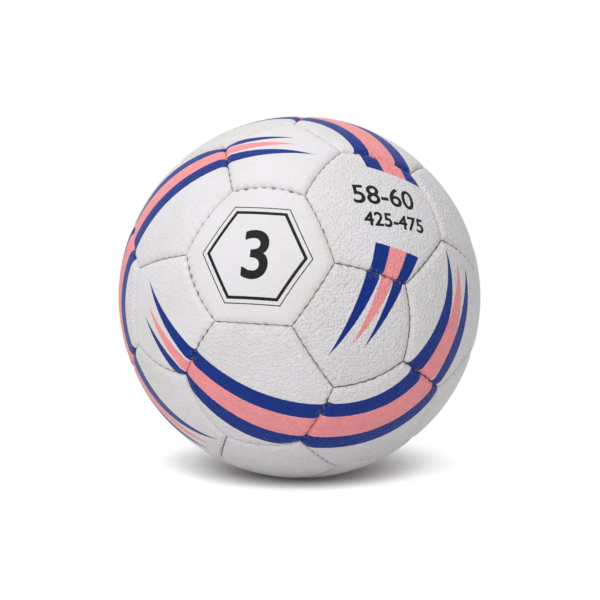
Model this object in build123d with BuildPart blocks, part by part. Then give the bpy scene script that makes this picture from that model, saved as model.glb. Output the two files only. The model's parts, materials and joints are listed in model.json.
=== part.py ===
"""Hand-sewn handball, size 3: turned-edge panels sewn over a latex bladder with a pull-out valve.

Millimetres. The origin is the ball's centre and +Z is up as the ball lies on a floor.
"""

from build123d import *
from itertools import combinations, permutations, product
from math import asin, atan, atan2, cos, degrees, pi, sin, sqrt, tan
import os

# The ball, and how it lies: the marked hexagon faces -Y, turned about +Z, tilted up and spun on itself
circumference = 590.0
marked_panel_turn = -13.6
marked_panel_tilt = 18.4
marked_panel_spin = 88.2

# Panels: a coated skin with its edges turned in at the seams, and cloth plies bonded behind it
skin_thickness = 1.6
lining_thickness = 1.2
lining_edge_clearance = 0.15
bond_line = 0.05
seam_gap = 0.2
edge_roll_radius = 1.3
corner_ease = 0.4

# Stitching: a saddle stitch through the turned edges of each seam, just under the lining
stitches_per_seam = 8
end_stitch_to_corner = 2.6
thread_diameter = 0.7
pulled_thread_share = 0.65
thread_clearance = 0.05
thread_to_lining = 0.15
edge_below_thread = 0.3

# Bladder, held by the turned edges all round it
bladder_wall = 0.8
bladder_clearance = 0.1

# Valve: a housing bonded into the bladder, and a nail-shaped rubber core that pulls out of it
core_diameter = 5.8
core_length = 18.0
core_head_lip = 0.7
core_head_thickness = 1.4
core_nose_radius = 1.6
core_running_clearance = 0.05
core_head_clearance = 0.1
core_head_round = 0.3
needle_bore_diameter = 2.4
needle_bore_length = 8.0
needle_lead_in = 0.6
housing_wall = 0.7
housing_length = 20.0
housing_recess = 0.5
housing_hole_clearance = 0.2
patch_diameter = 34.0
patch_thickness = 1.0

# Cutting shapes reach this far past what they cut, and a ball's poles are turned away from the panel on +Z
cut_overrun = 1.0
poles_aside = (90, 0, 0)

# Worked out: depths below the ball's surface follow its layers from the skin inwards
ball_radius = circumference / (2 * pi)
lining_depth = skin_thickness + bond_line + lining_thickness
stitch_depth = lining_depth + thread_to_lining + thread_diameter / 2
turned_edge_depth = stitch_depth + thread_diameter / 2 + edge_below_thread
bladder_radius = ball_radius - turned_edge_depth - bladder_clearance
wall_inner_side = seam_gap / 2 + skin_thickness
panel_corner_radius = edge_roll_radius + corner_ease

# Every seam has the same chord, the edge of a truncated icosahedron
seam_chord = ball_radius * 4 / sqrt(58 + 18 * sqrt(5))
seam_angle = 2 * asin(seam_chord / (2 * ball_radius))
stitch_radius = ball_radius - stitch_depth
stitch_span = degrees(seam_angle - 2 * end_stitch_to_corner / stitch_radius)
stitch_thread_radius = pulled_thread_share * thread_diameter / 2
thread_run_offset = wall_inner_side + thread_clearance + thread_diameter / 2

core_head_diameter = core_diameter + 2 * core_head_lip
housing_diameter = core_head_diameter + 2 * (core_head_clearance + housing_wall)
housing_top = ball_radius - housing_recess
patch_outer_radius = bladder_radius - bladder_wall - bond_line

PENTAGON = 5
HEXAGON = 6
THREAD_FACETS = 4


def wall_slope(sides):
    """Angle between a panel's axis and its walls, which run towards the ball's centre."""
    corner_distance = seam_chord / (2 * sin(pi / sides))
    wall_distance = seam_chord / (2 * tan(pi / sides))
    return atan(wall_distance / sqrt(ball_radius**2 - corner_distance**2))


def side_plane(sides, side):
    """Plane of one of a panel's seams: X points at the seam's middle and Z out of the panel."""
    slope = wall_slope(sides)
    turn = 2 * pi / sides * (side + 1 / 2)
    middle = (sin(slope) * cos(turn), sin(slope) * sin(turn), cos(slope))
    outward = (cos(slope) * cos(turn), cos(slope) * sin(turn), -sin(slope))
    return Plane((0, 0, 0), x_dir=middle, z_dir=outward)


def panel_block(sides, inset, radius):
    """What a panel's walls, moved in by inset, cut out of a ball of this radius."""
    with BuildPart() as block:
        Sphere(radius, rotation=poles_aside)
        for side in range(sides):
            split(bisect_by=side_plane(sides, side).offset(-inset), keep=Keep.BOTTOM)
    return block.part


def stitch_places():
    """The middle of each stitch of a seam, on the seam's own plane."""
    return PolarLocations(stitch_radius, stitches_per_seam, -stitch_span / 2, stitch_span, endpoint=True)


def sewn_panel(sides):
    """A panel on +Z: a curved skin rolled over at its edges, with stitch holes in its turned-in walls."""
    with BuildPart() as panel:
        add(panel_block(sides, seam_gap / 2, ball_radius))
        Sphere(ball_radius - turned_edge_depth, rotation=poles_aside, mode=Mode.SUBTRACT)
        fillet(panel.edges().filter_by(GeomType.LINE), panel_corner_radius)
        outer_face = panel.faces().filter_by(GeomType.SPHERE).sort_by(Axis.Z)[-1]
        fillet(outer_face.outer_wire().edges(), edge_roll_radius)
        add(panel_block(sides, wall_inner_side, ball_radius - skin_thickness), mode=Mode.SUBTRACT)
        for side in range(sides):
            with BuildSketch(side_plane(sides, side)):
                with stitch_places():
                    Circle(stitch_thread_radius + thread_clearance)
            extrude(amount=-wall_inner_side - cut_overrun, mode=Mode.SUBTRACT)
    return panel.part


def panel_lining(sides):
    """Cloth plies behind a panel's skin, between its turned-in walls."""
    edge_inset = wall_inner_side + lining_edge_clearance
    with BuildPart() as lining:
        add(panel_block(sides, edge_inset, ball_radius - skin_thickness - bond_line))
        Sphere(ball_radius - lining_depth, rotation=poles_aside, mode=Mode.SUBTRACT)
    return lining.part


def with_valve_hole(piece):
    """A panel or lining with the round hole that the valve housing stands in."""
    with BuildPart() as holed:
        add(piece)
        with BuildSketch():
            Circle(housing_diameter / 2 + housing_hole_clearance)
        extrude(amount=ball_radius + cut_overrun, mode=Mode.SUBTRACT)
    return holed.part


def seam_stitching():
    """One seam's thread: a flat run along each side of the sewn edges and a stitch through every hole."""
    with BuildPart() as stitching:
        with BuildSketch():
            with stitch_places():
                RegularPolygon(stitch_thread_radius, THREAD_FACETS)
        extrude(amount=thread_run_offset - thread_diameter / 2, both=True)
        with BuildSketch(Plane.XZ.rotated((0, 0, -stitch_span / 2), Extrinsic.XYZ)):
            with Locations((stitch_radius, thread_run_offset), (stitch_radius, -thread_run_offset)):
                Rectangle(thread_diameter, thread_diameter)
        revolve(axis=Axis.Z, revolution_arc=stitch_span)
    return stitching.part


def panel_plane(axis, corner):
    """A panel's plane: Z points out along its axis and X towards this corner."""
    return Plane((0, 0, 0), x_dir=corner - corner.project_to_line(axis), z_dir=axis)


# Layout: pentagons on an icosahedron's corners and hexagons on its faces, the marked one on the lay's Z
golden_ratio = (1 + sqrt(5)) / 2
icosahedron_corners = [
    Vector(corner)
    for a, b in product((1, -1), (golden_ratio, -golden_ratio))
    for corner in ((0, a, b), (a, b, 0), (b, 0, a))
]
marked_face = panel_plane(Vector(1, 1, 1), icosahedron_corners[0])
lay = Plane.XZ.rotated((-marked_panel_spin, -marked_panel_tilt, marked_panel_turn), Extrinsic.YXZ)
pentagon_axes = [lay.from_local_coords(marked_face.to_local_coords(corner)) for corner in icosahedron_corners]


def are_neighbours(axes):
    """True where pentagons are the nearest to each other, which are less than a right angle apart."""
    return all(a.dot(b) > 0 for a, b in combinations(axes, 2))


def panel_corner(pentagon_axis, towards):
    """Direction of the corner that a pentagon turns towards its neighbour."""
    return pentagon_axis * 2 + towards


def seam_plane(start, end):
    """Plane of the seam from one panel corner to the next: X points at the seam's middle."""
    return Plane((0, 0, 0), x_dir=start + end, z_dir=start.cross(end))


def ring_order(plane):
    """Sorts panels by rings down from the marked hexagon, then round its axis."""
    place = lay.to_local_coords(plane.z_dir)
    return round(-place.Z, 3), round(degrees(atan2(place.Y, place.X))) % 360


pairs = [pair for pair in combinations(pentagon_axes, 2) if are_neighbours(pair)]
trios = [trio for trio in combinations(pentagon_axes, 3) if are_neighbours(trio)]
nearest = {a: b for pair in pairs for a, b in permutations(pair)}

pentagon_planes = [panel_plane(a, panel_corner(a, b)) for a, b in nearest.items()]
hexagon_planes = [panel_plane(a + b + c, panel_corner(a, b)) for a, b, c in trios]
hexagon_seams = [seam_plane(panel_corner(a, b), panel_corner(b, a)) for a, b in pairs]
pentagon_seams = [
    seam_plane(panel_corner(a, b), panel_corner(a, c))
    for trio in trios
    for a, b, c in (trio, trio[1:] + trio[:1], trio[2:] + trio[:2])
]
pentagon_planes.sort(key=ring_order)
hexagon_planes.sort(key=ring_order)

# The valve is in the hexagon straight behind the marked one
valve_plane = hexagon_planes.pop()
valve_axis = Axis((0, 0, 0), valve_plane.z_dir)

os.makedirs("parts", exist_ok=True)


def write(name, piece):
    """Labels a finished piece and writes it under its name."""
    piece.label = name
    export_step(piece, f"parts/{name}.step")


# Panels, each a piece of its own
pentagon = sewn_panel(PENTAGON)
hexagon = sewn_panel(HEXAGON)
for kind, outline, planes in (("pentagon", pentagon, pentagon_planes), ("hexagon", hexagon, hexagon_planes)):
    for number, plane in enumerate(planes, start=1):
        with BuildPart(plane) as panel:
            add(outline)
        write(f"{kind}_panel_{number:02}", panel.part)
with BuildPart(valve_plane) as valve_panel:
    add(with_valve_hole(hexagon))
write("valve_panel", valve_panel.part)

# Linings and stitching, a group of like pieces in each
hexagon_lining = panel_lining(HEXAGON)
with BuildPart(*pentagon_planes) as pentagon_linings:
    add(panel_lining(PENTAGON))
write("pentagon_linings", pentagon_linings.part)
with BuildPart(*hexagon_planes) as hexagon_linings:
    add(hexagon_lining)
write("hexagon_linings", hexagon_linings.part)
with BuildPart(valve_plane) as valve_lining:
    add(with_valve_hole(hexagon_lining))
write("valve_lining", valve_lining.part)

stitching = seam_stitching()
with BuildPart(*pentagon_seams) as pentagon_stitching:
    add(stitching)
write("pentagon_stitching", pentagon_stitching.part)
with BuildPart(*hexagon_seams) as hexagon_stitching:
    add(stitching)
write("hexagon_stitching", hexagon_stitching.part)

# Bladder: a hollow sphere with a hole for the valve housing
with BuildPart() as bladder:
    Sphere(bladder_radius)
    Sphere(bladder_radius - bladder_wall, mode=Mode.SUBTRACT)
    with BuildSketch(valve_plane):
        Circle(housing_diameter / 2 + bond_line)
    extrude(amount=ball_radius, mode=Mode.SUBTRACT)
write("bladder", bladder.part)

# Valve housing: a tube through the bladder, on a round patch bonded to the inside of its wall
with BuildPart() as valve_housing:
    with BuildSketch(valve_plane):
        Circle(patch_diameter / 2)
    extrude(amount=ball_radius)
    Sphere(patch_outer_radius, mode=Mode.INTERSECT)
    Sphere(patch_outer_radius - patch_thickness, mode=Mode.SUBTRACT)
    with BuildSketch(valve_plane.offset(housing_top - housing_length)):
        Circle(housing_diameter / 2)
    extrude(amount=housing_length)
    with Locations(valve_plane.offset(housing_top)):
        CounterBoreHole(
            radius=core_diameter / 2 + core_running_clearance,
            counter_bore_radius=core_head_diameter / 2 + core_head_clearance,
            counter_bore_depth=core_head_thickness,
        )
write("valve_housing", valve_housing.part)

# Valve core: a plug with a flat head, and a blind bore that the pump's needle goes into
with BuildPart() as valve_core:
    with BuildSketch(valve_plane.offset(housing_top - core_length)):
        Circle(core_diameter / 2)
    extrude(amount=core_length)
    with BuildSketch(valve_plane.offset(housing_top - core_head_thickness)):
        Circle(core_head_diameter / 2)
    extrude(amount=core_head_thickness)
    rims = valve_core.edges().filter_by(GeomType.CIRCLE).sort_by(valve_axis)
    fillet(rims[0], core_nose_radius)
    fillet(rims[-1], core_head_round)
    with Locations(valve_plane.offset(housing_top)):
        CounterSinkHole(
            radius=needle_bore_diameter / 2,
            counter_sink_radius=needle_bore_diameter / 2 + needle_lead_in,
            depth=needle_bore_length,
            counter_sink_angle=90,
        )
write("valve_core", valve_core.part)
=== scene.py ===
import json
from functools import lru_cache
from itertools import permutations
from math import cos, pi, radians, sin

import bpy
import numpy as np
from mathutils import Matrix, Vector


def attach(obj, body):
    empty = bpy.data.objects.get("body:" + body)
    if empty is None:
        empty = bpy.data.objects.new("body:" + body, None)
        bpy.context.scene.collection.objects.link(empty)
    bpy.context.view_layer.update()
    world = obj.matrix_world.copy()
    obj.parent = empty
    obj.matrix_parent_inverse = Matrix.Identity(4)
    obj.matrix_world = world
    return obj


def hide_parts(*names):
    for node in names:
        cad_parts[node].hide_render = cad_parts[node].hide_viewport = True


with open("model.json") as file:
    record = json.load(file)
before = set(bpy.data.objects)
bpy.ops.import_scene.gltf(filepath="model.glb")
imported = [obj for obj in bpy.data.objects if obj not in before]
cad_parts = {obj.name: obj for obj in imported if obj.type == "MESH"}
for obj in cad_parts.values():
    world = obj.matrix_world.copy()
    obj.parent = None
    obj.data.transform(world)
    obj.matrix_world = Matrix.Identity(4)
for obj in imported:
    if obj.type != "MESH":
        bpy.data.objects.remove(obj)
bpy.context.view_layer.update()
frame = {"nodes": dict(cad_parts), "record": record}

# Sizes here are in millimetres, angles in degrees and colours linear, unless a name says otherwise
MM = 0.001
UP = np.array((0.0, 0.0, 1.0))

# What the frame gives
mounts = {mount["name"]: mount for mount in frame["record"]["mounts"]}
ball_radius = -mounts["support_spot"]["pos_m"][2] / MM
valve_axis = np.array(mounts["needle_bore"]["axis"])

# How a ball of pentagons and hexagons goes together
pentagons_round_pentagon = 5
pentagons_round_hexagon = 3
hexagon_sides = 6

# Camera, fitted to the photograph's frame
camera_elevation = 6.0
camera_distance = 993.0
camera_field_of_view = 17.86
camera_aim = (0.23, 0.0, -1.42)

# Skin panels
skin_thickness = 1.6
turned_edge_depth = 4.0
seam_gap = 0.06
roll_width = 4.4
roll_depth = 2.0
roll_rings = 10
wall_rings = 3
pillow_depth = 0.28
pillow_reach = 5.0
lump_depth = 0.12
lump_length = 17.0
lump_wave_count = 6
sink_limit = 0.18
plain_levels = 44
printed_levels = 110
inner_levels = 11
hole_level_share = 1 / 8

# Cloth linings glued under the skin
lining_thickness = 1.2
lining_clearance = 0.15
lining_levels = 8

# Thread
thread_radius = 0.3
thread_depth = 2.4
thread_reach = 0.55
thread_roundness = 1
thread_curve_order = 3

# Seams. What no table below gives for a seam or a panel is drawn from the range beside the table.
stitches_per_seam = 8
end_stitch_to_corner = 2.6
pucker_depth = 0.34
pucker_reach = 2.8
pucker_opening = 0.2
pull_range = (0.1, 1.0)
pull_sharpness = 4
wave_height = 0.16
bow_start_share = 0.3

# How far corners lie off their even places, east and up. Each is the corner of the first pentagon
# that points at the second.
CORNER_SHIFTS = {
    ("pentagon_panel_01", "pentagon_panel_02"): (1.0, 0.6),
    ("pentagon_panel_01", "pentagon_panel_06"): (-1.1, 0.4),
    ("pentagon_panel_02", "pentagon_panel_03"): (-0.4, 0.5),
    ("pentagon_panel_02", "pentagon_panel_04"): (0.0, 1.0),
    ("pentagon_panel_02", "pentagon_panel_05"): (1.3, 1.5),
    ("pentagon_panel_03", "pentagon_panel_01"): (-0.6, 0.0),
    ("pentagon_panel_03", "pentagon_panel_02"): (0.6, 0.4),
    ("pentagon_panel_06", "pentagon_panel_01"): (0.8, 0.8),
    ("pentagon_panel_09", "pentagon_panel_03"): (0.0, 0.9),
}

# How far the middle of a seam leans from the first panel into the second
bow_range = (-0.5, 0.5)
SEAM_BOWS = {
    ("hexagon_panel_01", "pentagon_panel_01"): 2.4,
    ("hexagon_panel_01", "pentagon_panel_02"): 1.7,
    ("hexagon_panel_01", "pentagon_panel_03"): 0.4,
    ("hexagon_panel_01", "hexagon_panel_02"): 1.2,
    ("hexagon_panel_01", "hexagon_panel_03"): -0.4,
    ("hexagon_panel_01", "hexagon_panel_04"): 0.7,
    ("pentagon_panel_03", "hexagon_panel_03"): 0.3,
    ("pentagon_panel_03", "hexagon_panel_04"): 0.8,
    ("pentagon_panel_03", "hexagon_panel_08"): 2.0,
    ("pentagon_panel_03", "hexagon_panel_09"): 1.9,
    ("hexagon_panel_03", "pentagon_panel_02"): 1.0,
    ("hexagon_panel_03", "hexagon_panel_07"): 2.0,
    ("hexagon_panel_03", "pentagon_panel_05"): 2.5,
    ("hexagon_panel_03", "hexagon_panel_08"): 0.5,
    ("hexagon_panel_08", "hexagon_panel_09"): 0.3,
    ("hexagon_panel_09", "pentagon_panel_06"): 1.3,
    ("hexagon_panel_04", "hexagon_panel_09"): 0.0,
    ("hexagon_panel_04", "pentagon_panel_01"): 1.3,
    ("hexagon_panel_04", "pentagon_panel_06"): 1.7,
    ("hexagon_panel_04", "hexagon_panel_10"): 1.8,
    ("hexagon_panel_02", "pentagon_panel_01"): 0.2,
    ("hexagon_panel_02", "pentagon_panel_02"): -0.5,
    ("pentagon_panel_02", "hexagon_panel_07"): 2.3,
}

# Seams whose stitch holes are pulled wide open, and how wide
open_range = (0.5, 1.2)
OPEN_SEAMS = {
    ("hexagon_panel_01", "pentagon_panel_01"): 2.6,
    ("hexagon_panel_01", "pentagon_panel_02"): 2.2,
    ("pentagon_panel_01", "hexagon_panel_02"): 2.0,
    ("pentagon_panel_02", "hexagon_panel_03"): 2.0,
    ("pentagon_panel_03", "hexagon_panel_04"): 2.3,
    ("hexagon_panel_02", "hexagon_panel_06"): 1.8,
    ("hexagon_panel_03", "hexagon_panel_08"): 2.1,
    ("hexagon_panel_04", "hexagon_panel_10"): 1.9,
    ("hexagon_panel_08", "hexagon_panel_09"): 2.0,
}

# How dark the grime and painted shade lie in a seam
soil_and_shade_range = (0.5, 1.0)
# Painted shade in the stitch holes: more darkness where the thread pulls them open
soil_and_shade_at_stitch = 0.35
SEAM_SOILS_AND_SHADES = {
    ("hexagon_panel_01", "pentagon_panel_01"): 0.25,
    ("hexagon_panel_01", "pentagon_panel_02"): 0.25,
    ("hexagon_panel_01", "hexagon_panel_02"): 0.3,
    ("hexagon_panel_01", "hexagon_panel_03"): 0.7,
    ("hexagon_panel_01", "hexagon_panel_04"): 0.6,
    ("hexagon_panel_01", "pentagon_panel_03"): 0.7,
    ("pentagon_panel_01", "hexagon_panel_02"): 0.5,
    ("pentagon_panel_01", "hexagon_panel_04"): 0.6,
    ("pentagon_panel_02", "hexagon_panel_02"): 0.7,
    ("pentagon_panel_02", "hexagon_panel_03"): 0.7,
    ("pentagon_panel_02", "hexagon_panel_07"): 0.7,
    ("pentagon_panel_03", "hexagon_panel_03"): 0.8,
    ("pentagon_panel_03", "hexagon_panel_04"): 0.8,
    ("pentagon_panel_03", "hexagon_panel_08"): 1.2,
    ("pentagon_panel_03", "hexagon_panel_09"): 1.2,
    ("pentagon_panel_05", "hexagon_panel_03"): 0.5,
    ("pentagon_panel_05", "hexagon_panel_08"): 0.8,
    ("pentagon_panel_06", "hexagon_panel_04"): 0.6,
    ("pentagon_panel_06", "hexagon_panel_09"): 1.1,
    ("hexagon_panel_03", "hexagon_panel_07"): 0.3,
    ("hexagon_panel_04", "hexagon_panel_09"): 1.1,
    ("hexagon_panel_08", "hexagon_panel_09"): 1.2,
}

# How strong the grain of a panel is
grain_range = (0.6, 1.2)
PANEL_GRAINS = {
    "hexagon_panel_01": 0.35,
    "hexagon_panel_02": 0.6,
    "hexagon_panel_03": 1.2,
    "hexagon_panel_04": 1.1,
    "hexagon_panel_08": 1.4,
    "hexagon_panel_09": 1.3,
    "pentagon_panel_01": 0.4,
    "pentagon_panel_02": 0.6,
    "pentagon_panel_03": 1.5,
    "pentagon_panel_05": 1.2,
}

# Each half of the print turns about a pole. Within the first of these angles from it lies the pole's own
# panel, and within the second lie the panels with spikes and bands.
pole_panel_reach = 10.0
band_reach = 60.0

# Printed stripes, blue, pink and blue from the pole outwards. An edge is the parabola closest to a few
# places along it, which are east of the panel's middle and towards the pole. Stripes that touch share
# an edge.
no_ink = -10.0
band_edges = (
    ((-30.5, 19.0), (0.0, 2.0), (34.5, -8.3)),
    ((-33.0, 12.0), (0.0, -7.2), (31.0, -16.8)),
    ((-36.0, 5.5), (-20.0, -9.2), (0.0, -20.0), (24.0, -27.9)),
    ((-37.5, 0.0), (-30.0, -9.6), (0.0, -30.0), (19.0, -34.0)),
)
bend_edges = (
    ((-11.5, 32.0), (10.0, 20.4), (28.0, 16.6)),
    ((-17.5, 26.5), (0.0, 15.7), (30.0, 7.0)),
    ((-27.5, 17.0), (-20.0, 10.4), (0.0, 0.9), (32.0, -6.8)),
    ((-33.0, 9.5), (0.0, -9.2), (33.0, -14.2)),
)
STRIPES = {
    "band": tuple(zip(band_edges, band_edges[1:])),
    "bend": tuple(zip(bend_edges, bend_edges[1:])),
    "spikes": (
        (((-19.5, 3.7), (0.0, 6.6), (24.5, 11.6)), ((-19.5, 3.7), (0.0, 2.8), (27.0, 4.8))),
        (((-9.0, -2.3), (10.0, 0.6), (27.0, 4.0)), ((-9.0, -2.3), (10.0, -3.6), (28.5, -2.3))),
        (((-6.3, -8.3), (10.0, -6.0), (28.5, -2.6)), ((-6.3, -8.3), (10.0, -9.0), (30.0, -8.0))),
    ),
    "taper": (
        (((-28.0, 19.5), (0.0, 12.2), (31.5, 13.5)), ((-31.5, 10.5), (0.0, 5.2), (31.5, 13.5))),
        (((-31.5, 10.5), (0.0, 4.6), (27.0, 3.6)), ((-33.0, -2.3), (0.0, -4.2), (27.0, 3.6))),
        (
            ((-33.2, -3.0), (-20.0, -5.2), (0.0, -4.8), (26.0, -5.8)),
            ((-34.0, -10.0), (-10.0, -13.2), (26.0, -5.8)),
        ),
    ),
}

# How far the print of a panel was laid off its place, east and towards the pole
PRINT_SHIFTS = {
    "pentagon_panel_01": (1.0, -4.2),
    "pentagon_panel_02": (0.0, -3.7),
    "hexagon_panel_02": (0.0, -0.6),
    "hexagon_panel_04": (0.0, 1.5),
    "hexagon_panel_05": (0.0, -5.0),
    "hexagon_panel_07": (0.0, -4.5),
    "hexagon_panel_10": (3.2, 0.3),
}

# Panel whose stripes stop on both sides of a window, which holds the ball's sizes: centimetres round
# and grams
window_panel = "hexagon_panel_04"
window_west = ((-15.5, 11.0), (-26.2, -9.5))
window_east = ((25.0, -5.0), (10.8, -30.2))
WINDOW_LINES = (
    ("58-60", 10.5, (6.6, -4.6)),
    ("425-475", 7.2, (-7.4, -4.0)),
)
window_line_turn = -107.0
glyph_boldness = 0.26

# Size badge on the panel that faces the front
badge_panel = "hexagon_panel_01"
badge_figure = "3"
badge_figure_centre = (0.0, 0.0)
badge_figure_turn = 0.0
badge_figure_height = 23.0
badge_figure_boldness = 0.55
badge_rings = ((23.5, 0.5), (20.8, 1.5))

# Noise in the materials
noise_detail = 3.0
noise_roughness = 0.55
noise_middle = 0.5

# Bare skin: white with ivory patches, and darker from handling along the seams
white_skin = (0.80, 0.778, 0.81, 1.0)
ivory_skin = (0.77, 0.745, 0.745, 1.0)
handled_skin = (0.74, 0.695, 0.65, 1.0)
skin_roughness = 0.52
skin_specular = 0.12
ivory_size = 26.0
ivory_detail = 4.0
ivory_range = (0.38, 0.68)
handled_reach = 6.0
handled_strength = 0.5
handled_size = 9.0
handled_range = (0.4, 0.7)

# Ink, with its edges a little uneven on the grain
blue_ink = (0.004, 0.031, 0.240, 1.0)
pink_ink = (0.97, 0.340, 0.362, 1.0)
black_ink = (0.012, 0.011, 0.012, 1.0)
stripe_inks = (blue_ink, pink_ink, blue_ink)
ink_roughness = 0.42
ink_softness = 0.12
ink_wobble = 0.5
ink_wobble_size = 0.9
ink_patch_size = 6.0
ink_patch_range = (0.35, 0.7)
ink_patch_share = 0.93
figure_softness = 0.1
figure_wobble_share = 0.5

# Flakes of ink lost at strained seams, whose paler tint also stands for painted glints on the wrinkled ink
# there
flake_and_glint_size = 1.5
flake_and_glint_detail = 4.0
flake_and_glint_range = (0.46, 0.68)
flake_and_glint_strength = 0.14
flake_and_glint_reach_range = (0.2, 4.0)
flake_and_glint_strain_range = (1.0, 2.0)

# Grime and painted shade down in the seams: the dark line stands partly for shade in the crevice
seam_grime_and_shade = (0.15, 0.13, 0.115, 1.0)
grime_and_shade_size = 1.6
grime_and_shade_range = (0.3, 0.7)
grime_and_shade_reach_range = (0.1, 0.3)
grime_and_shade_softness = 0.1

# Grain of the skin
pebble_size = 1.15
pebble_smoothness = 0.4
pebble_depth = 0.54
fine_grain_size = 0.6
fine_grain_depth = 0.18
dent_size = 5.0
dent_depth = 0.5

# Look of the thread
pale_thread = (0.36, 0.33, 0.29, 1.0)
dark_thread = (0.24, 0.21, 0.18, 1.0)
thread_roughness = 0.6
thread_specular = 0.5
thread_patch_size = 1.2
thread_patch_range = (0.35, 0.65)
fibre_size = 0.3
fibre_depth = 0.1

# Look of the cloth
pale_cloth = (0.62, 0.58, 0.50, 1.0)
dark_cloth = (0.44, 0.41, 0.35, 1.0)
cloth_roughness = 0.9
cloth_specular = 0.2
weave_size = 0.6
weave_range = (0.1, 0.6)
weave_depth = 0.15

# Rubber pieces: the name of the material, its pale and dark colours and the size of its patches
RUBBERS = {
    "bladder": ("bladder_latex", (0.52, 0.40, 0.24, 1.0), (0.40, 0.29, 0.16, 1.0), 9.0),
    "valve_housing": ("valve_housing_rubber", (0.12, 0.12, 0.12, 1.0), (0.09, 0.09, 0.09, 1.0), 3.0),
    "valve_core": ("valve_core_rubber", (0.03, 0.03, 0.03, 1.0), (0.02, 0.02, 0.02, 1.0), 2.0),
}
rubber_specular = 0.4
rubber_patch_range = (0.35, 0.7)
rubber_grain_size = 0.4
rubber_grain_depth = 0.06
dust_size = 2.5
dust_range = (0.3, 0.7)
rubber_roughness_range = (0.45, 0.65)

# Floor: the light that it throws back at the ball and how pale it is seen. The white share of what is seen
# is a glow that darkens only where the ball is close, as judged by a normal that leans to the front: a
# painted contact shadow.
floor_half_size = 500.0
floor_bounce = 0.9
floor_seen = 2.3
floor_white = 6.8
floor_white_power = 4.0
floor_white_share = 0.8
floor_white_lean = 50.0

# Light from all round, the white that is seen past the floor, and soft lamps: their places and powers
world_light = 0.41
world_seen = 1.0
lamp_size = 1400.0
LAMPS = {
    "key_light": ((-450.0, -1600.0, 1200.0), 21.2),
    "top_light": ((-300.0, 0.0, 1700.0), 9.5),
}

random_seed = 32
random = np.random.default_rng(random_seed)


def unit(vectors):
    """The vectors, each one long."""
    return vectors / np.linalg.norm(vectors, axis=-1, keepdims=True)


def grey(level):
    """A grey of this level, as a colour."""
    return (level, level, level, 1.0)


def angle_between(first, second):
    """Angle between two directions, in degrees."""
    return np.degrees(np.arccos(np.clip(first @ second, -1, 1)))


def smooth_step(values, low, high):
    """0 below low, 1 above high and a smooth rise between."""
    share = np.clip((values - low) / (high - low), 0, 1)
    return share * share * (3 - 2 * share)


# Where the panels are


def panel_axis(node):
    """Direction from the ball's centre through the middle of a CAD panel."""
    mesh = node.data
    areas = np.empty(len(mesh.polygons))
    centres = np.empty(len(mesh.polygons) * 3)
    mesh.polygons.foreach_get("area", areas)
    mesh.polygons.foreach_get("center", centres)
    return unit(areas @ centres.reshape(-1, 3))


axes = {name: panel_axis(node) for name, node in frame["nodes"].items() if "_panel" in name}
pentagons = [name for name in axes if name.startswith("pentagon")]


def nearest_pentagons(axis, count):
    """The pentagons closest to a direction, the closest first."""
    return sorted(pentagons, key=lambda name: -axes[name] @ axis)[:count]


def even_corner(corner):
    """Direction of the corner of the first pentagon that points at the second, on an even ball."""
    near, far = corner
    return unit(2 * axes[near] + axes[far])


def corner_direction(corner):
    """Direction of a corner where it lies on this ball."""
    direction = even_corner(corner)
    aside, upward = CORNER_SHIFTS.get(corner, (0.0, 0.0))
    east = unit(np.cross(UP, direction))
    north = np.cross(direction, east)
    return unit(direction + (aside * east + upward * north) / ball_radius)


def nearest_pole(axis):
    """The end of the valve's axis that this direction's half of the print turns about."""
    return np.copysign(1.0, axis @ valve_axis) * valve_axis


def flat_directions(name):
    """A panel's own east and north. North is towards the pole that its half of the print turns about."""
    axis = axes[name]
    upward = nearest_pole(axis)
    if angle_between(axis, upward) < pole_panel_reach:
        around = [axes[other] for other in nearest_pentagons(axis, pentagons_round_hexagon)]
        upward = max(around, key=lambda other: other @ UP)
    north = unit(upward - (upward @ axis) * axis)
    return np.cross(north, axis), north


def panel_corners(name):
    """The corners of a panel in order, anticlockwise from outside."""
    if name in pentagons:
        others = nearest_pentagons(axes[name], 1 + pentagons_round_pentagon)[1:]
        corners = [(name, other) for other in others]
    else:
        corners = list(permutations(nearest_pentagons(axes[name], pentagons_round_hexagon), 2))
    east, north = flat_directions(name)

    def turn(corner):
        """Angle of a corner about the panel's middle."""
        direction = corner_direction(corner)
        return np.arctan2(direction @ north, direction @ east)

    return sorted(corners, key=turn)


def seams_round(corners):
    """The seams round a panel, each from one of its corners to the next."""
    return [frozenset(ends) for ends in zip(corners, corners[1:] + corners[:1])]


corners_of = {name: panel_corners(name) for name in axes}
panels_of_seam = {}
for name, corners in corners_of.items():
    for seam in seams_round(corners):
        panels_of_seam.setdefault(seam, []).append(name)

first_corner, second_corner = (even_corner(corner) for corner in corners_of[badge_panel][:2])
seam_length = ball_radius * np.arccos(first_corner @ second_corner)
end_stitch_share = end_stitch_to_corner / seam_length


# How seams lie


def seam_value(table, seam, otherwise):
    """A seam's value in a table, and whether the table names its panels the other way round."""
    first, second = panels_of_seam[seam]
    if (second, first) in table:
        return table[second, first], True
    return table.get((first, second), otherwise), False


seam_facts = {}
for seam, (first, second) in panels_of_seam.items():
    bow, swapped = seam_value(SEAM_BOWS, seam, random.uniform(*bow_range))
    openness, _ = seam_value(OPEN_SEAMS, seam, random.uniform(*open_range))
    soil_and_shade, _ = seam_value(SEAM_SOILS_AND_SHADES, seam, random.uniform(*soil_and_shade_range))
    seam_facts[seam] = {
        "from_panel": second if swapped else first,
        "bow": bow,
        "openness": openness,
        "soil_and_shade": soil_and_shade,
        "wave_phase": random.uniform(0, 2 * pi),
        "pulls": random.uniform(*pull_range, stitches_per_seam),
        "start": min(seam),
    }


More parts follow.
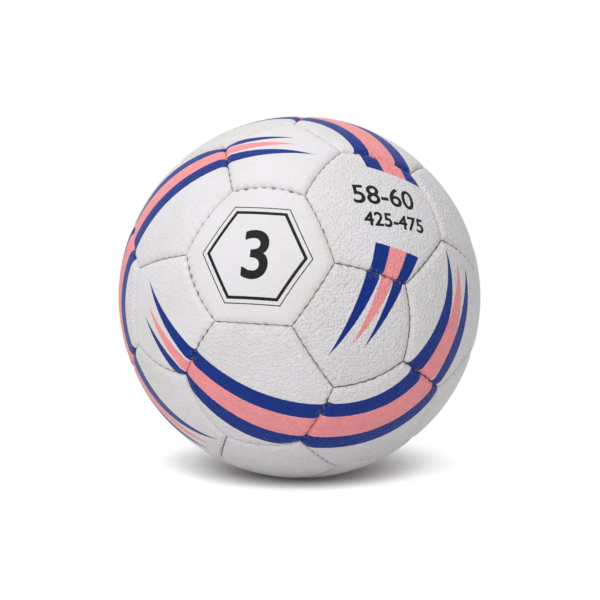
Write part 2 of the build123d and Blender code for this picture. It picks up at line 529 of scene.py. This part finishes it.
def stitch_pull(seam, share):
    """How hard the thread pulls along a seam: most at the stitches and 0 half-way between."""
    facts = seam_facts[seam]
    place = (share - end_stitch_share) / (1 - 2 * end_stitch_share) * (stitches_per_seam - 1)
    nearest = np.rint(place).astype(int)
    inside = (nearest >= 0) & (nearest < stitches_per_seam)
    strength = facts["openness"] * facts["pulls"][np.clip(nearest, 0, stitches_per_seam - 1)]
    return np.where(inside, strength * np.cos(pi * place) ** pull_sharpness, 0)


def seam_lean(seam, name, share):
    """How far a seam lies outwards of its straight line, as seen from this panel, along its length."""
    facts = seam_facts[seam]
    wave = np.sin(2 * pi * stitches_per_seam * share + facts["wave_phase"])
    lean = (facts["bow"] + wave_height * wave) * np.sin(pi * share)
    return lean if facts["from_panel"] == name else -lean


# The mesh of a panel


@lru_cache(None)
def zipped(inner_count, outer_count):
    """Triangles along one side between two rings with these counts of steps, as (ring, step) corners."""
    triangles = []
    inner = outer = 0
    while inner < inner_count or outer < outer_count:
        next_inner = (inner + 1) / inner_count if inner < inner_count else 2
        next_outer = (outer + 1) / outer_count if outer < outer_count else 2
        if next_outer <= next_inner:
            triangles.append(((0, inner), (1, outer), (1, outer + 1)))
            outer += 1
        else:
            triangles.append(((0, inner), (1, outer), (0, inner + 1)))
            inner += 1
    return triangles


class Rings:
    """Rings of points on a panel, from the middle of its face over the edge and back inside."""

    def __init__(self, sides):
        self.sides = sides
        self.rows = []
        self.faces = []
        self.count = 0

    def add(self, level, depth, steps):
        """One ring at this level of the way to the seam and this depth, with this many steps a side."""
        shares = np.arange(steps) / steps if steps else np.zeros(1)
        count = len(shares)
        start = self.count
        for side in range(self.sides if steps else 1):
            self.rows.append((np.full(count, side), shares, np.full(count, level), np.full(count, depth)))
            self.count += count
        return start, steps

    def join(self, first, second):
        """Faces between two rings, the first nearer to the middle of the face as the surface runs."""
        starts = (first[0], second[0])
        steps = (first[1], second[1])
        for side in range(self.sides):
            for corners in zipped(*steps):
                triangle = [self.number(starts[ring], steps[ring], side, step) for ring, step in corners]
                self.faces.append(triangle)

    def number(self, start, steps, side, step):
        """The vertex number of a step on one side of a ring."""
        if steps == 0:
            return start
        return start + (side * steps + step) % (self.sides * steps)

    def columns(self):
        """All points as four arrays: side, share along it, level and depth."""
        return [np.concatenate(column) for column in zip(*self.rows)]


@lru_cache(None)
def panel_rings(sides, levels, apothem, hole):
    """The rings of a whole panel skin, closed on itself, with fewer points inside."""
    rings = Rings(sides)
    first_level = int(levels * hole_level_share) if hole else 0
    last_inner_level = int(inner_levels * hole_level_share) if hole else -1
    chain = []
    flat_share = 1 - (roll_width + seam_gap / 2) / apothem
    for level in range(first_level, levels + 1):
        share = (level - first_level) / (levels - first_level)
        chain.append(rings.add(share * flat_share, 0.0, level))
    for ring in range(1, roll_rings + 1):
        angle = pi / 2 * ring / roll_rings
        inset = roll_width * (1 - sin(angle)) + seam_gap / 2
        chain.append(rings.add(1 - inset / apothem, roll_depth * (1 - cos(angle)), levels))
    for ring in range(1, wall_rings + 1):
        depth = roll_depth + (turned_edge_depth - roll_depth) * ring / wall_rings
        chain.append(rings.add(1 - seam_gap / 2 / apothem, depth, levels))
    inner_share = 1 - (skin_thickness + seam_gap / 2) / apothem
    chain.append(rings.add(inner_share, turned_edge_depth, levels // 2))
    chain.append(rings.add(inner_share, skin_thickness, inner_levels * 2))
    for level in range(inner_levels, last_inner_level, -1):
        chain.append(rings.add(inner_share * level / inner_levels, skin_thickness, level))
    for first, second in zip(chain, chain[1:]):
        rings.join(first, second)
    if hole:
        rings.join(chain[-1], chain[0])
    return rings


@lru_cache(None)
def lining_rings(sides, apothem, hole):
    """The rings of the cloth plate under a panel."""
    rings = Rings(sides)
    edge_share = 1 - (skin_thickness + seam_gap / 2 + 2 * lining_clearance) / apothem
    top_depth = skin_thickness + lining_clearance
    foot_depth = top_depth + lining_thickness
    first_level = int(lining_levels * hole_level_share) if hole else 0
    levels = range(first_level, lining_levels + 1)
    top = [rings.add(edge_share * level / lining_levels, top_depth, level) for level in levels]
    foot = [rings.add(edge_share * level / lining_levels, foot_depth, level) for level in levels]
    chain = top + foot[::-1]
    for first, second in zip(chain, chain[1:]):
        rings.join(first, second)
    if hole:
        rings.join(chain[-1], chain[0])
    return rings


def straight_places(name, side, share, level, hole):
    """Directions of a panel's points while its seams run straight from corner to corner."""
    axis = axes[name]
    directions = np.array([corner_direction(corner) for corner in corners_of[name]])
    spokes = directions / (directions @ axis)[:, None] - axis
    start = spokes[side]
    end = spokes[(side + 1) % len(spokes)]
    edge = start + share[:, None] * (end - start)
    edge_length = np.linalg.norm(edge, axis=1, keepdims=True)
    hole_reach = hole / ball_radius * (1 - level[:, None]) ** 2
    flat = edge / edge_length * (level[:, None] * edge_length + hole_reach)
    return unit(axis + flat)


def seam_effects(name, side, share):
    """What its seam does to each of a panel's points: pull, lean, grime with painted shade, strain and the
    way out over it.
    """
    corners = corners_of[name]
    pull, lean, soil_and_shade, strain = np.zeros((4, len(side)))
    outward = np.zeros((len(side), 3))
    for number, seam in enumerate(seams_round(corners)):
        corner = corners[number]
        following = corners[(number + 1) % len(corners)]
        facts = seam_facts[seam]
        here = side == number
        along = share[here] if facts["start"] == corner else 1 - share[here]
        pull[here] = stitch_pull(seam, along)
        lean[here] = seam_lean(seam, name, along)
        # Grime and painted shade of the seam, deeper at the opened stitch holes
        soil_and_shade[here] = facts["soil_and_shade"] + soil_and_shade_at_stitch * pull[here]
        strain[here] = facts["openness"]
        outward[here] = unit(np.cross(corner_direction(following), corner_direction(corner)))
    return pull, lean, soil_and_shade, strain, outward


def lumps_at(place):
    """How deep the soft lumps of the ball are in these directions."""
    turns = 2 * pi * ball_radius / lump_length
    waves = [(1 + np.sin(turns * (place @ wave) + phase)) / 2 for wave, phase in lump_waves]
    return lump_depth * sum(waves) / len(waves)


def panel_points(name, rings, apothem, hole):
    """Places of a panel's points, how far each is from its seam, and the seam's grime with painted shade,
    and its strain.
    """
    side, share, level, depth = rings.columns()
    pull, lean, soil_and_shade, strain, outward = seam_effects(name, side, share)
    inset = (1 - level) * apothem
    press = np.exp(-inset / pucker_reach)
    lean *= smooth_step(level, bow_start_share, 1)
    lean -= pucker_opening * pull * np.exp(-inset / roll_width)
    place = straight_places(name, side, share, level, hole)
    place = unit(place + lean[:, None] / ball_radius * outward)
    pillow = pillow_depth * np.exp(-inset / pillow_reach)
    sunk = depth + pillow + pucker_depth * pull * press + lumps_at(place) * (1 - press) + sinks[name]
    return place * (ball_radius - sunk)[:, None], inset, soil_and_shade, strain


lump_waves = [(unit(random.normal(size=3)), random.uniform(0, 2 * pi)) for _ in range(lump_wave_count)]
sinks = {name: random.uniform(0, sink_limit) for name in axes}
grains = {name: PANEL_GRAINS.get(name, random.uniform(*grain_range)) for name in axes}


# What is printed on a panel


def print_kind(name):
    """Which stripes a panel carries, from its place about the pole of its half of the print."""
    axis = axes[name]
    pole = nearest_pole(axis)
    from_pole = angle_between(axis, pole)
    if name in pentagons:
        return "spikes" if from_pole < band_reach else None
    if from_pole < pole_panel_reach:
        return None
    if from_pole < band_reach:
        return "band"
    spiked = [axes[other] for other in pentagons if angle_between(axes[other], pole) < band_reach]
    leader = max(spiked, key=lambda other: other @ axis)
    return "taper" if np.cross(leader, axis) @ pole > 0 else "bend"


def above_edge(edge, x, y):
    """How far places are above a stripe's edge."""
    curve = np.polynomial.Polynomial.fit(*zip(*edge), 2)
    slope = curve.deriv()(x)
    return (y - curve(x)) / np.sqrt(1 + slope * slope)


def beyond_line(line, x, y):
    """How far places are to the east of a line that runs down the panel."""
    (top_x, top_y), (foot_x, foot_y) = line
    along = np.array((top_x - foot_x, top_y - foot_y))
    east_x, east_y = unit(np.array((along[1], -along[0])))
    return (x - top_x) * east_x + (y - top_y) * east_y


def glyph_outline(text, height):
    """The outline of plain figures of this height about the origin: the starts and ends of its edges."""
    curve = bpy.data.curves.new("figures", "FONT")
    curve.body = text
    curve.align_x = "CENTER"
    figures = bpy.data.objects.new("figures", curve)
    bpy.context.collection.objects.link(figures)
    depsgraph = bpy.context.evaluated_depsgraph_get()
    mesh = bpy.data.meshes.new_from_object(figures.evaluated_get(depsgraph))
    uses = {}
    for polygon in mesh.polygons:
        for edge in polygon.edge_keys:
            uses[edge] = uses.get(edge, 0) + 1
    places = np.array([vertex.co[:2] for vertex in mesh.vertices])
    places -= (places.min(axis=0) + places.max(axis=0)) / 2
    places *= height / np.ptp(places[:, 1])
    outline = np.array([edge for edge, count in uses.items() if count == 1])
    bpy.data.objects.remove(figures)
    bpy.data.curves.remove(curve)
    bpy.data.meshes.remove(mesh)
    return places[outline[:, 0]], places[outline[:, 1]]


def inside_outline(outline, x, y):
    """How far inside an outline places are, negative outside."""
    starts, ends = outline
    along = ends - starts
    offset = np.stack((x, y), axis=1)[:, None] - starts
    share = np.clip((offset * along).sum(axis=2) / (along * along).sum(axis=1), 0, 1)
    distance = np.linalg.norm(offset - share[..., None] * along, axis=2).min(axis=1)
    spans = (starts[:, 1] > y[:, None]) != (ends[:, 1] > y[:, None])
    rise = np.where(along[:, 1] == 0, 1, along[:, 1])
    crossing = starts[:, 0] + (y[:, None] - starts[:, 1]) * along[:, 0] / rise
    inside = (spans & (x[:, None] < crossing)).sum(axis=1) % 2 == 1
    return np.where(inside, distance, -distance)


def turned(x, y, centre, degrees):
    """Places as seen by a print that is centred there and turned anticlockwise."""
    east = x - centre[0]
    north = y - centre[1]
    angle = radians(degrees)
    return east * cos(angle) + north * sin(angle), north * cos(angle) - east * sin(angle)


def figure_print(text, height, centre, degrees, boldness, x, y):
    """How far places are inside printed figures."""
    across, up = turned(x, y, centre, degrees)
    return inside_outline(glyph_outline(text, height), across, up) + boldness


def hexagon_line(apothem, width, x, y):
    """How far places are inside a hexagon with a flat top, drawn as a line of this width."""
    turns = [2 * pi * side / hexagon_sides for side in range(hexagon_sides)]
    outside = np.max([x * sin(turn) + y * cos(turn) for turn in turns], axis=0) - apothem
    return width / 2 - np.abs(outside)


def window_print(x, y):
    """How far places are inside the ball's sizes in the window."""
    return np.max([
        figure_print(text, height, centre, window_line_turn, glyph_boldness, x, y)
        for text, height, centre in WINDOW_LINES
    ], axis=0)


def badge_print(x, y):
    """How far places are inside the badge: a figure within hexagons."""
    place = (badge_figure_centre, badge_figure_turn)
    figure = figure_print(badge_figure, badge_figure_height, *place, badge_figure_boldness, x, y)
    rings = [hexagon_line(apothem, width, x, y) for apothem, width in badge_rings]
    return np.max([figure, *rings], axis=0)


def panel_prints(name, places):
    """How far places on a panel are inside its stripes' lower and upper edges and its black print."""
    axis_east, axis_north = flat_directions(name)
    x = places @ axis_east
    y = places @ axis_north
    lower = np.full((len(places), len(stripe_inks)), no_ink)
    upper = np.full((len(places), len(stripe_inks)), no_ink)
    black = np.full(len(places), no_ink)
    kind = print_kind(name)
    if kind:
        shift_x, shift_y = PRINT_SHIFTS.get(name, (0.0, 0.0))
        for stripe, (upper_edge, lower_edge) in enumerate(STRIPES[kind]):
            upper[:, stripe] = -above_edge(upper_edge, x - shift_x, y - shift_y)
            lower[:, stripe] = above_edge(lower_edge, x - shift_x, y - shift_y)
    if name == window_panel:
        outside = np.maximum(-beyond_line(window_west, x, y), beyond_line(window_east, x, y))
        upper = np.minimum(upper, outside[:, None])
        black = np.maximum(black, window_print(x, y))
    if name == badge_panel:
        black = np.maximum(black, badge_print(x, y))
    return lower, upper, black


# Materials


def feed(tree, node, inputs):
    """Gives a node's inputs, by name or number, values or other nodes' outputs."""
    for key, value in inputs.items():
        if isinstance(value, bpy.types.NodeSocket):
            tree.links.new(value, node.inputs[key])
        else:
            node.inputs[key].default_value = value


def add_node(tree, kind, inputs, **settings):
    """A node of this kind, with these inputs and settings."""
    node = tree.nodes.new(kind)
    for key, value in settings.items():
        setattr(node, key, value)
    feed(tree, node, inputs)
    return node


class Graph:
    """A material's nodes, added one after another."""

    def __init__(self, name):
        self.material = bpy.data.materials.new(name)
        self.material.use_nodes = True
        self.tree = self.material.node_tree

    def add(self, kind, inputs, **settings):
        """A node of this kind in the material."""
        return add_node(self.tree, kind, inputs, **settings)

    def place(self):
        """Coordinates on the object, in metres."""
        return self.add("ShaderNodeTexCoord", {}).outputs["Object"]

    def attribute(self, name, output="Fac"):
        """A value that the mesh carries."""
        return self.add("ShaderNodeAttribute", {}, attribute_name=name).outputs[output]

    def parts(self, name):
        """The three parts of a vector that the mesh carries."""
        return self.add("ShaderNodeSeparateXYZ", {0: self.attribute(name, "Vector")}).outputs

    def math(self, operation, *values):
        """A sum, product or the like of values."""
        return self.add("ShaderNodeMath", dict(enumerate(values)), operation=operation).outputs[0]

    def noise(self, size, detail=noise_detail):
        """Noise with features of about this size."""
        inputs = {"Vector": self.place(), "Scale": 1 / (size * MM), "Detail": detail}
        return self.add("ShaderNodeTexNoise", {**inputs, "Roughness": noise_roughness}).outputs["Fac"]

    def cells(self, size, smoothness=0.0):
        """Cells of about this size, rounded if they are smooth: the distance from each one's middle."""
        inputs = {"Vector": self.place(), "Scale": 1 / (size * MM)}
        if smoothness:
            inputs["Smoothness"] = smoothness
        feature = "SMOOTH_F1" if smoothness else "F1"
        return self.add("ShaderNodeTexVoronoi", inputs, feature=feature).outputs["Distance"]

    def ramp(self, value, low, high, to_low=0.0, to_high=1.0):
        """A smooth change from one value to another as an input goes from low to high."""
        inputs = {"Value": value, 1: low, 2: high, 3: to_low, 4: to_high}
        return self.add("ShaderNodeMapRange", inputs, interpolation_type="SMOOTHSTEP").outputs["Result"]

    def mix(self, factor, first, second):
        """One colour over another."""
        inputs = {"Factor": factor, 6: first, 7: second}
        return self.add("ShaderNodeMix", inputs, data_type="RGBA").outputs[2]

    def bump(self, height, depth, below=None, sunken=False):
        """Bumps or dents of this depth in millimetres, over any bumps below."""
        inputs = {"Height": height, "Distance": depth * MM}
        if below:
            inputs["Normal"] = below
        return self.add("ShaderNodeBump", inputs, invert=sunken).outputs["Normal"]

    def finish(self, colour, normal, roughness, specular):
        """The material, with its colour, bumps, roughness and shine on the shader."""
        inputs = {"Base Color": colour, "Normal": normal, "Roughness": roughness}
        feed(self.tree, self.tree.nodes["Principled BSDF"], {**inputs, "Specular IOR Level": specular})
        return self.material


def bare_skin(graph, from_seam):
    """White with ivory patches, darker from handling along the seams."""
    patches = graph.ramp(graph.noise(ivory_size, ivory_detail), *ivory_range)
    colour = graph.mix(patches, white_skin, ivory_skin)
    near_seam = graph.ramp(from_seam, 0.0, handled_reach, handled_strength, 0.0)
    handled = graph.math("MULTIPLY", near_seam, graph.ramp(graph.noise(handled_size), *handled_range))
    return graph.mix(handled, colour, handled_skin)


def ink_between_flakes_and_glints(graph, from_seam, strain):
    """How much of the ink stays where it comes off in flecks at strained seams, its paler tint there also
    a painted glint on the wrinkled ink.
    """
    # Paler ink near strained seams: flecks off the print, and painted glints of the wrinkled ink
    flakes_and_glints = graph.ramp(graph.noise(flake_and_glint_size, flake_and_glint_detail), *flake_and_glint_range)
    near_seam = graph.ramp(from_seam, *flake_and_glint_reach_range, flake_and_glint_strength, 0.0)
    lost_and_glinting = graph.math("MULTIPLY", near_seam, graph.ramp(strain, *flake_and_glint_strain_range))
    return graph.math("SUBTRACT", 1.0, graph.math("MULTIPLY", flakes_and_glints, lost_and_glinting))


def patchy_ink(graph, ink):
    """An ink with patches a little darker."""
    darker = (*(ink_patch_share * part for part in ink[:3]), 1.0)
    return graph.mix(graph.ramp(graph.noise(ink_patch_size), *ink_patch_range), ink, darker)


def printed_skin(graph, colour, ink_showing):
    """The skin's colour with stripes and figures printed on it, and how far stripes cover it."""
    uneven = graph.math("SUBTRACT", graph.noise(ink_wobble_size), noise_middle)
    wobble = graph.math("MULTIPLY", uneven, ink_wobble)
    cover = None
    for low, high, ink in zip(graph.parts("band_lower"), graph.parts("band_upper"), stripe_inks):
        inside = graph.math("ADD", graph.math("MINIMUM", low, high), wobble)
        stripe = graph.math("MULTIPLY", graph.ramp(inside, -ink_softness, ink_softness), ink_showing)
        colour = graph.mix(stripe, colour, patchy_ink(graph, ink))
        cover = graph.math("MAXIMUM", cover, stripe) if cover else stripe
    figure_wobble = graph.math("MULTIPLY", wobble, figure_wobble_share)
    figures = graph.math("ADD", graph.attribute("black_print"), figure_wobble)
    colour = graph.mix(graph.ramp(figures, -figure_softness, figure_softness), colour, black_ink)
    return colour, cover


def soiled_and_shaded_skin(graph, colour, from_seam, soil_and_shade):
    """The skin's colour with grime and painted crevice shade down in the seams."""
    # Grime and painted crevice shade mixed in along the seam
    patches = graph.ramp(graph.noise(grime_and_shade_size), *grime_and_shade_range, *grime_and_shade_reach_range)
    beyond = graph.math("SUBTRACT", from_seam, graph.math("MULTIPLY", soil_and_shade, patches))
    soiled_and_shaded = graph.ramp(beyond, -grime_and_shade_softness, grime_and_shade_softness, 1.0, 0.0)
    return graph.mix(graph.math("MULTIPLY", soiled_and_shaded, graph.math("MINIMUM", soil_and_shade, 1.0)), colour, seam_grime_and_shade)


def skin_grain(graph, grain):
    """Pebbles, a finer grain on them and broad dents below."""
    pebbles = graph.math("MULTIPLY", graph.cells(pebble_size, pebble_smoothness), grain)
    normal = graph.bump(pebbles, pebble_depth, sunken=True)
    fine_grain = graph.math("MULTIPLY", graph.noise(fine_grain_size), grain)
    normal = graph.bump(fine_grain, fine_grain_depth, normal)
    return graph.bump(graph.noise(dent_size), dent_depth, normal)


def panel_skin():
    """White grained synthetic leather with printed stripes, with grime, wear and painted shade along the
    seams, and painted glints on the ink beside them.
    """
    graph = Graph("panel_skin")
    from_seam = graph.attribute("from_seam")
    soil_and_shade, strain, grain = graph.parts("wear_and_shade")
    colour = bare_skin(graph, from_seam)
    colour, cover = printed_skin(graph, colour, ink_between_flakes_and_glints(graph, from_seam, strain))
    colour = soiled_and_shaded_skin(graph, colour, from_seam, soil_and_shade)
    roughness = graph.ramp(cover, 0.0, 1.0, skin_roughness, ink_roughness)
    return graph.finish(colour, skin_grain(graph, grain), roughness, skin_specular)


def waxed_thread():
    """Waxed thread, paler and darker in patches."""
    graph = Graph("sewing_thread")
    patches = graph.ramp(graph.noise(thread_patch_size), *thread_patch_range)
    colour = graph.mix(patches, pale_thread, dark_thread)
    fibres = graph.bump(graph.noise(fibre_size), fibre_depth)
    return graph.finish(colour, fibres, thread_roughness, thread_specular)


def lining_cloth():
    """Plain cotton lining."""
    graph = Graph("lining_cloth")
    weave = graph.cells(weave_size)
    colour = graph.mix(graph.ramp(weave, *weave_range), pale_cloth, dark_cloth)
    return graph.finish(colour, graph.bump(weave, weave_depth), cloth_roughness, cloth_specular)


def moulded_rubber(name, pale, dark, patch_size):
    """Rubber with a fine moulded grain and dusty patches."""
    graph = Graph(name)
    colour = graph.mix(graph.ramp(graph.noise(patch_size), *rubber_patch_range), pale, dark)
    normal = graph.bump(graph.noise(rubber_grain_size), rubber_grain_depth)
    roughness = graph.ramp(graph.noise(dust_size), *dust_range, *rubber_roughness_range)
    return graph.finish(colour, normal, roughness, rubber_specular)


# Building the ball


def panel_size(name):
    """A panel's number of sides, the distance from its middle to a seam, and the radius of any hole."""
    first, second = (even_corner(corner) for corner in corners_of[name][:2])
    apothem = ball_radius * np.arccos(unit(first + second) @ axes[name])
    hole = valve_hole_radius() if name == "valve_panel" else 0.0
    return len(corners_of[name]), apothem, hole


def set_attribute(mesh, name, kind, values):
    """Puts a value on every vertex of a mesh."""
    attribute = mesh.attributes.new(name, kind, "POINT")
    attribute.data.foreach_set("vector" if kind == "FLOAT_VECTOR" else "value", np.ravel(values))


def build_panel(name, material):
    """One skin panel in place of its CAD node."""
    sides, apothem, hole = panel_size(name)
    levels = printed_levels if name in (badge_panel, window_panel) else plain_levels
    rings = panel_rings(sides, levels, apothem, hole)
    places, inset, soil_and_shade, strain = panel_points(name, rings, apothem, hole)
    grain = np.full(len(places), grains[name])
    mesh = bpy.data.meshes.new(name + "_skin")
    mesh.from_pydata(places * MM, [], rings.faces)
    lower, upper, black = panel_prints(name, places)
    set_attribute(mesh, "from_seam", "FLOAT", inset)
    # Carries the seam's grime and painted shade, its strain and the panel's grain
    set_attribute(mesh, "wear_and_shade", "FLOAT_VECTOR", np.stack((soil_and_shade, strain, grain), axis=1))
    set_attribute(mesh, "band_lower", "FLOAT_VECTOR", lower)
    set_attribute(mesh, "band_upper", "FLOAT_VECTOR", upper)
    set_attribute(mesh, "black_print", "FLOAT", black)
    mesh.shade_smooth()
    add_piece(name + "_skin", mesh, material, name)


def add_piece(name, data, material, node):
    """A piece of the ball that stands for a CAD node."""
    data.materials.append(material)
    piece = bpy.data.objects.new(name, data)
    bpy.context.collection.objects.link(piece)
    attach(piece, "ball")
    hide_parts(node)


def build_linings(node, names, material):
    """The cloth plates under these panels, as one piece in place of their CAD node."""
    places = []
    faces = []
    count = 0
    for name in names:
        sides, apothem, hole = panel_size(name)
        rings = lining_rings(sides, apothem, hole)
        points = panel_points(name, rings, apothem, hole)[0]
        places.append(points * MM)
        faces += [[count + number for number in face] for face in rings.faces]
        count += len(points)
    mesh = bpy.data.meshes.new(node + "_cloth")
    mesh.from_pydata(np.concatenate(places), [], faces)
    mesh.shade_smooth()
    add_piece(node + "_cloth", mesh, material, node)


def seam_place(seam, share, aside, depth):
    """A place on a seam, this far aside of it and this deep, in metres."""
    facts = seam_facts[seam]
    start = corner_direction(facts["start"])
    end = corner_direction(max(seam))
    away = unit(np.cross(start, end))
    away = away * -np.copysign(1.0, away @ axes[facts["from_panel"]])
    lean = seam_lean(seam, facts["from_panel"], share) + aside
    place = unit(unit(start + share * (end - start)) + lean / ball_radius * away)
    return place * (ball_radius - depth) * MM


def build_stitching(node, seams, material):
    """The thread that laces these seams, as one piece in place of its CAD node."""
    curve = bpy.data.curves.new(node + "_thread", "CURVE")
    curve.dimensions = "3D"
    curve.bevel_depth = thread_radius * MM
    curve.bevel_resolution = thread_roundness
    curve.use_fill_caps = True
    shares = np.linspace(end_stitch_share, 1 - end_stitch_share, stitches_per_seam)
    laced = [(share, aside) for share in shares for aside in (-thread_reach, thread_reach)]
    for seam in seams:
        spline = curve.splines.new("NURBS")
        spline.points.add(len(laced) - 1)
        for point, (share, aside) in zip(spline.points, laced):
            point.co = (*seam_place(seam, share, aside, thread_depth), 1)
        spline.order_u = thread_curve_order
        spline.use_endpoint_u = True
    add_piece(node + "_thread", curve, material, node)


def valve_hole_radius():
    """Radius of the hole in the CAD valve panel."""
    vertices = np.array([vertex.co for vertex in frame["nodes"]["valve_panel"].data.vertices])
    return np.linalg.norm(np.cross(vertices, valve_axis), axis=1).min() / MM


def paint(node, material):
    """Gives a CAD node its material."""
    mesh = frame["nodes"][node].data
    mesh.materials.clear()
    mesh.materials.append(material)


skin = panel_skin()
for name in axes:
    build_panel(name, skin)

thread = waxed_thread()
cloth = lining_cloth()
hexagons = [name for name in axes if name.startswith("hexagon")]
build_linings("pentagon_linings", pentagons, cloth)
build_linings("hexagon_linings", hexagons, cloth)
build_linings("valve_lining", ["valve_panel"], cloth)
by_pentagons = [seam for seam, names in panels_of_seam.items() if set(names) & set(pentagons)]
between_hexagons = [seam for seam in panels_of_seam if seam not in by_pentagons]
build_stitching("pentagon_stitching", by_pentagons, thread)
build_stitching("hexagon_stitching", between_hexagons, thread)
for node, rubber in RUBBERS.items():
    paint(node, moulded_rubber(*rubber))


# Floor, light and camera


def seen(tree):
    """1 for what is seen straight, in a reflection or through glass, and 0 for light on its way."""
    path = add_node(tree, "ShaderNodeLightPath", {})
    total = path.outputs["Is Camera Ray"]
    for kind in ("Is Glossy Ray", "Is Transmission Ray"):
        either = add_node(tree, "ShaderNodeMath", {0: total, 1: path.outputs[kind]}, use_clamp=True)
        total = either.outputs[0]
    return total


def floor_white_strength(tree):
    """How white the glowing part of the floor is seen: full in the open, and less the closer the ball is,
    as a painted contact shadow.
    """
    lean = radians(floor_white_lean)
    normal = add_node(tree, "ShaderNodeCombineXYZ", {"Y": -sin(lean), "Z": cos(lean)}).outputs[0]
    inputs = {"Distance": 2 * floor_half_size * MM, "Normal": normal}
    openness = add_node(tree, "ShaderNodeAmbientOcclusion", inputs).outputs["AO"]
    fall = add_node(tree, "ShaderNodeMath", {0: openness, 1: floor_white_power}, operation="POWER")
    inputs = {0: fall.outputs[0], 1: floor_white}
    return add_node(tree, "ShaderNodeMath", inputs, operation="MULTIPLY", use_clamp=True).outputs[0]


def floor_paint():
    """White that throws light back at the ball. Where seen, part of it is lit by the lamps and keeps the
    ball's cast shadow, and the rest glows white with a painted contact shadow.
    """
    material = bpy.data.materials.new("floor")
    material.use_nodes = True
    tree = material.node_tree
    bounce = add_node(tree, "ShaderNodeBsdfDiffuse", {"Color": grey(floor_bounce)})
    lit = add_node(tree, "ShaderNodeBsdfDiffuse", {"Color": grey(floor_seen)})
    # A glow dimmed where the ball is close: a painted contact shadow
    white = add_node(tree, "ShaderNodeEmission", {"Strength": floor_white_strength(tree)})
    inputs = {"Fac": floor_white_share, 1: lit.outputs[0], 2: white.outputs[0]}
    shaded = add_node(tree, "ShaderNodeMixShader", inputs)
    inputs = {"Fac": seen(tree), 1: bounce.outputs[0], 2: shaded.outputs[0]}
    either = add_node(tree, "ShaderNodeMixShader", inputs)
    tree.links.new(either.outputs[0], tree.nodes["Material Output"].inputs["Surface"])
    return material


def add_floor():
    """The floor that the ball lies on."""
    half = floor_half_size * MM
    height = -ball_radius * MM
    corners = [(x, y, height) for x, y in ((-half, -half), (half, -half), (half, half), (-half, half))]
    mesh = bpy.data.meshes.new("floor")
    mesh.from_pydata(corners, [], [(0, 1, 2, 3)])
    mesh.materials.append(floor_paint())
    floor = bpy.data.objects.new("floor", mesh)
    bpy.context.collection.objects.link(floor)


def add_lamp(name, place, power):
    """A square soft lamp that points at the ball."""
    light = bpy.data.lights.new(name, "AREA")
    light.size = lamp_size * MM
    light.energy = power
    lamp = bpy.data.objects.new(name, light)
    lamp.location = Vector(place) * MM
    lamp.rotation_euler = (-lamp.location).to_track_quat("-Z", "Y").to_euler()
    bpy.context.collection.objects.link(lamp)


def set_world():
    """Even white light all round, and plain white where the camera sees past the floor."""
    world = bpy.data.worlds.new("studio")
    bpy.context.scene.world = world
    world.use_nodes = True
    tree = world.node_tree
    background = tree.nodes["Background"]
    background.inputs["Color"].default_value = (1, 1, 1, 1)
    inputs = {"Value": seen(tree), "To Min": world_light, "To Max": world_seen}
    strength = add_node(tree, "ShaderNodeMapRange", inputs)
    tree.links.new(strength.outputs["Result"], background.inputs["Strength"])


def add_camera():
    """The photograph's camera."""
    data = bpy.data.cameras.new("camera")
    data.angle = radians(camera_field_of_view)
    camera = bpy.data.objects.new("camera", data)
    angle = radians(camera_elevation)
    camera.location = Vector((0, -cos(angle), sin(angle))) * camera_distance * MM
    toward = Vector(camera_aim) * MM - camera.location
    camera.rotation_euler = toward.to_track_quat("-Z", "Y").to_euler()
    bpy.context.collection.objects.link(camera)
    bpy.context.scene.camera = camera


bpy.context.scene.view_settings.view_transform = "Standard"
add_floor()
set_world()
for name, (place, power) in LAMPS.items():
    add_lamp(name, place, power)
add_camera()
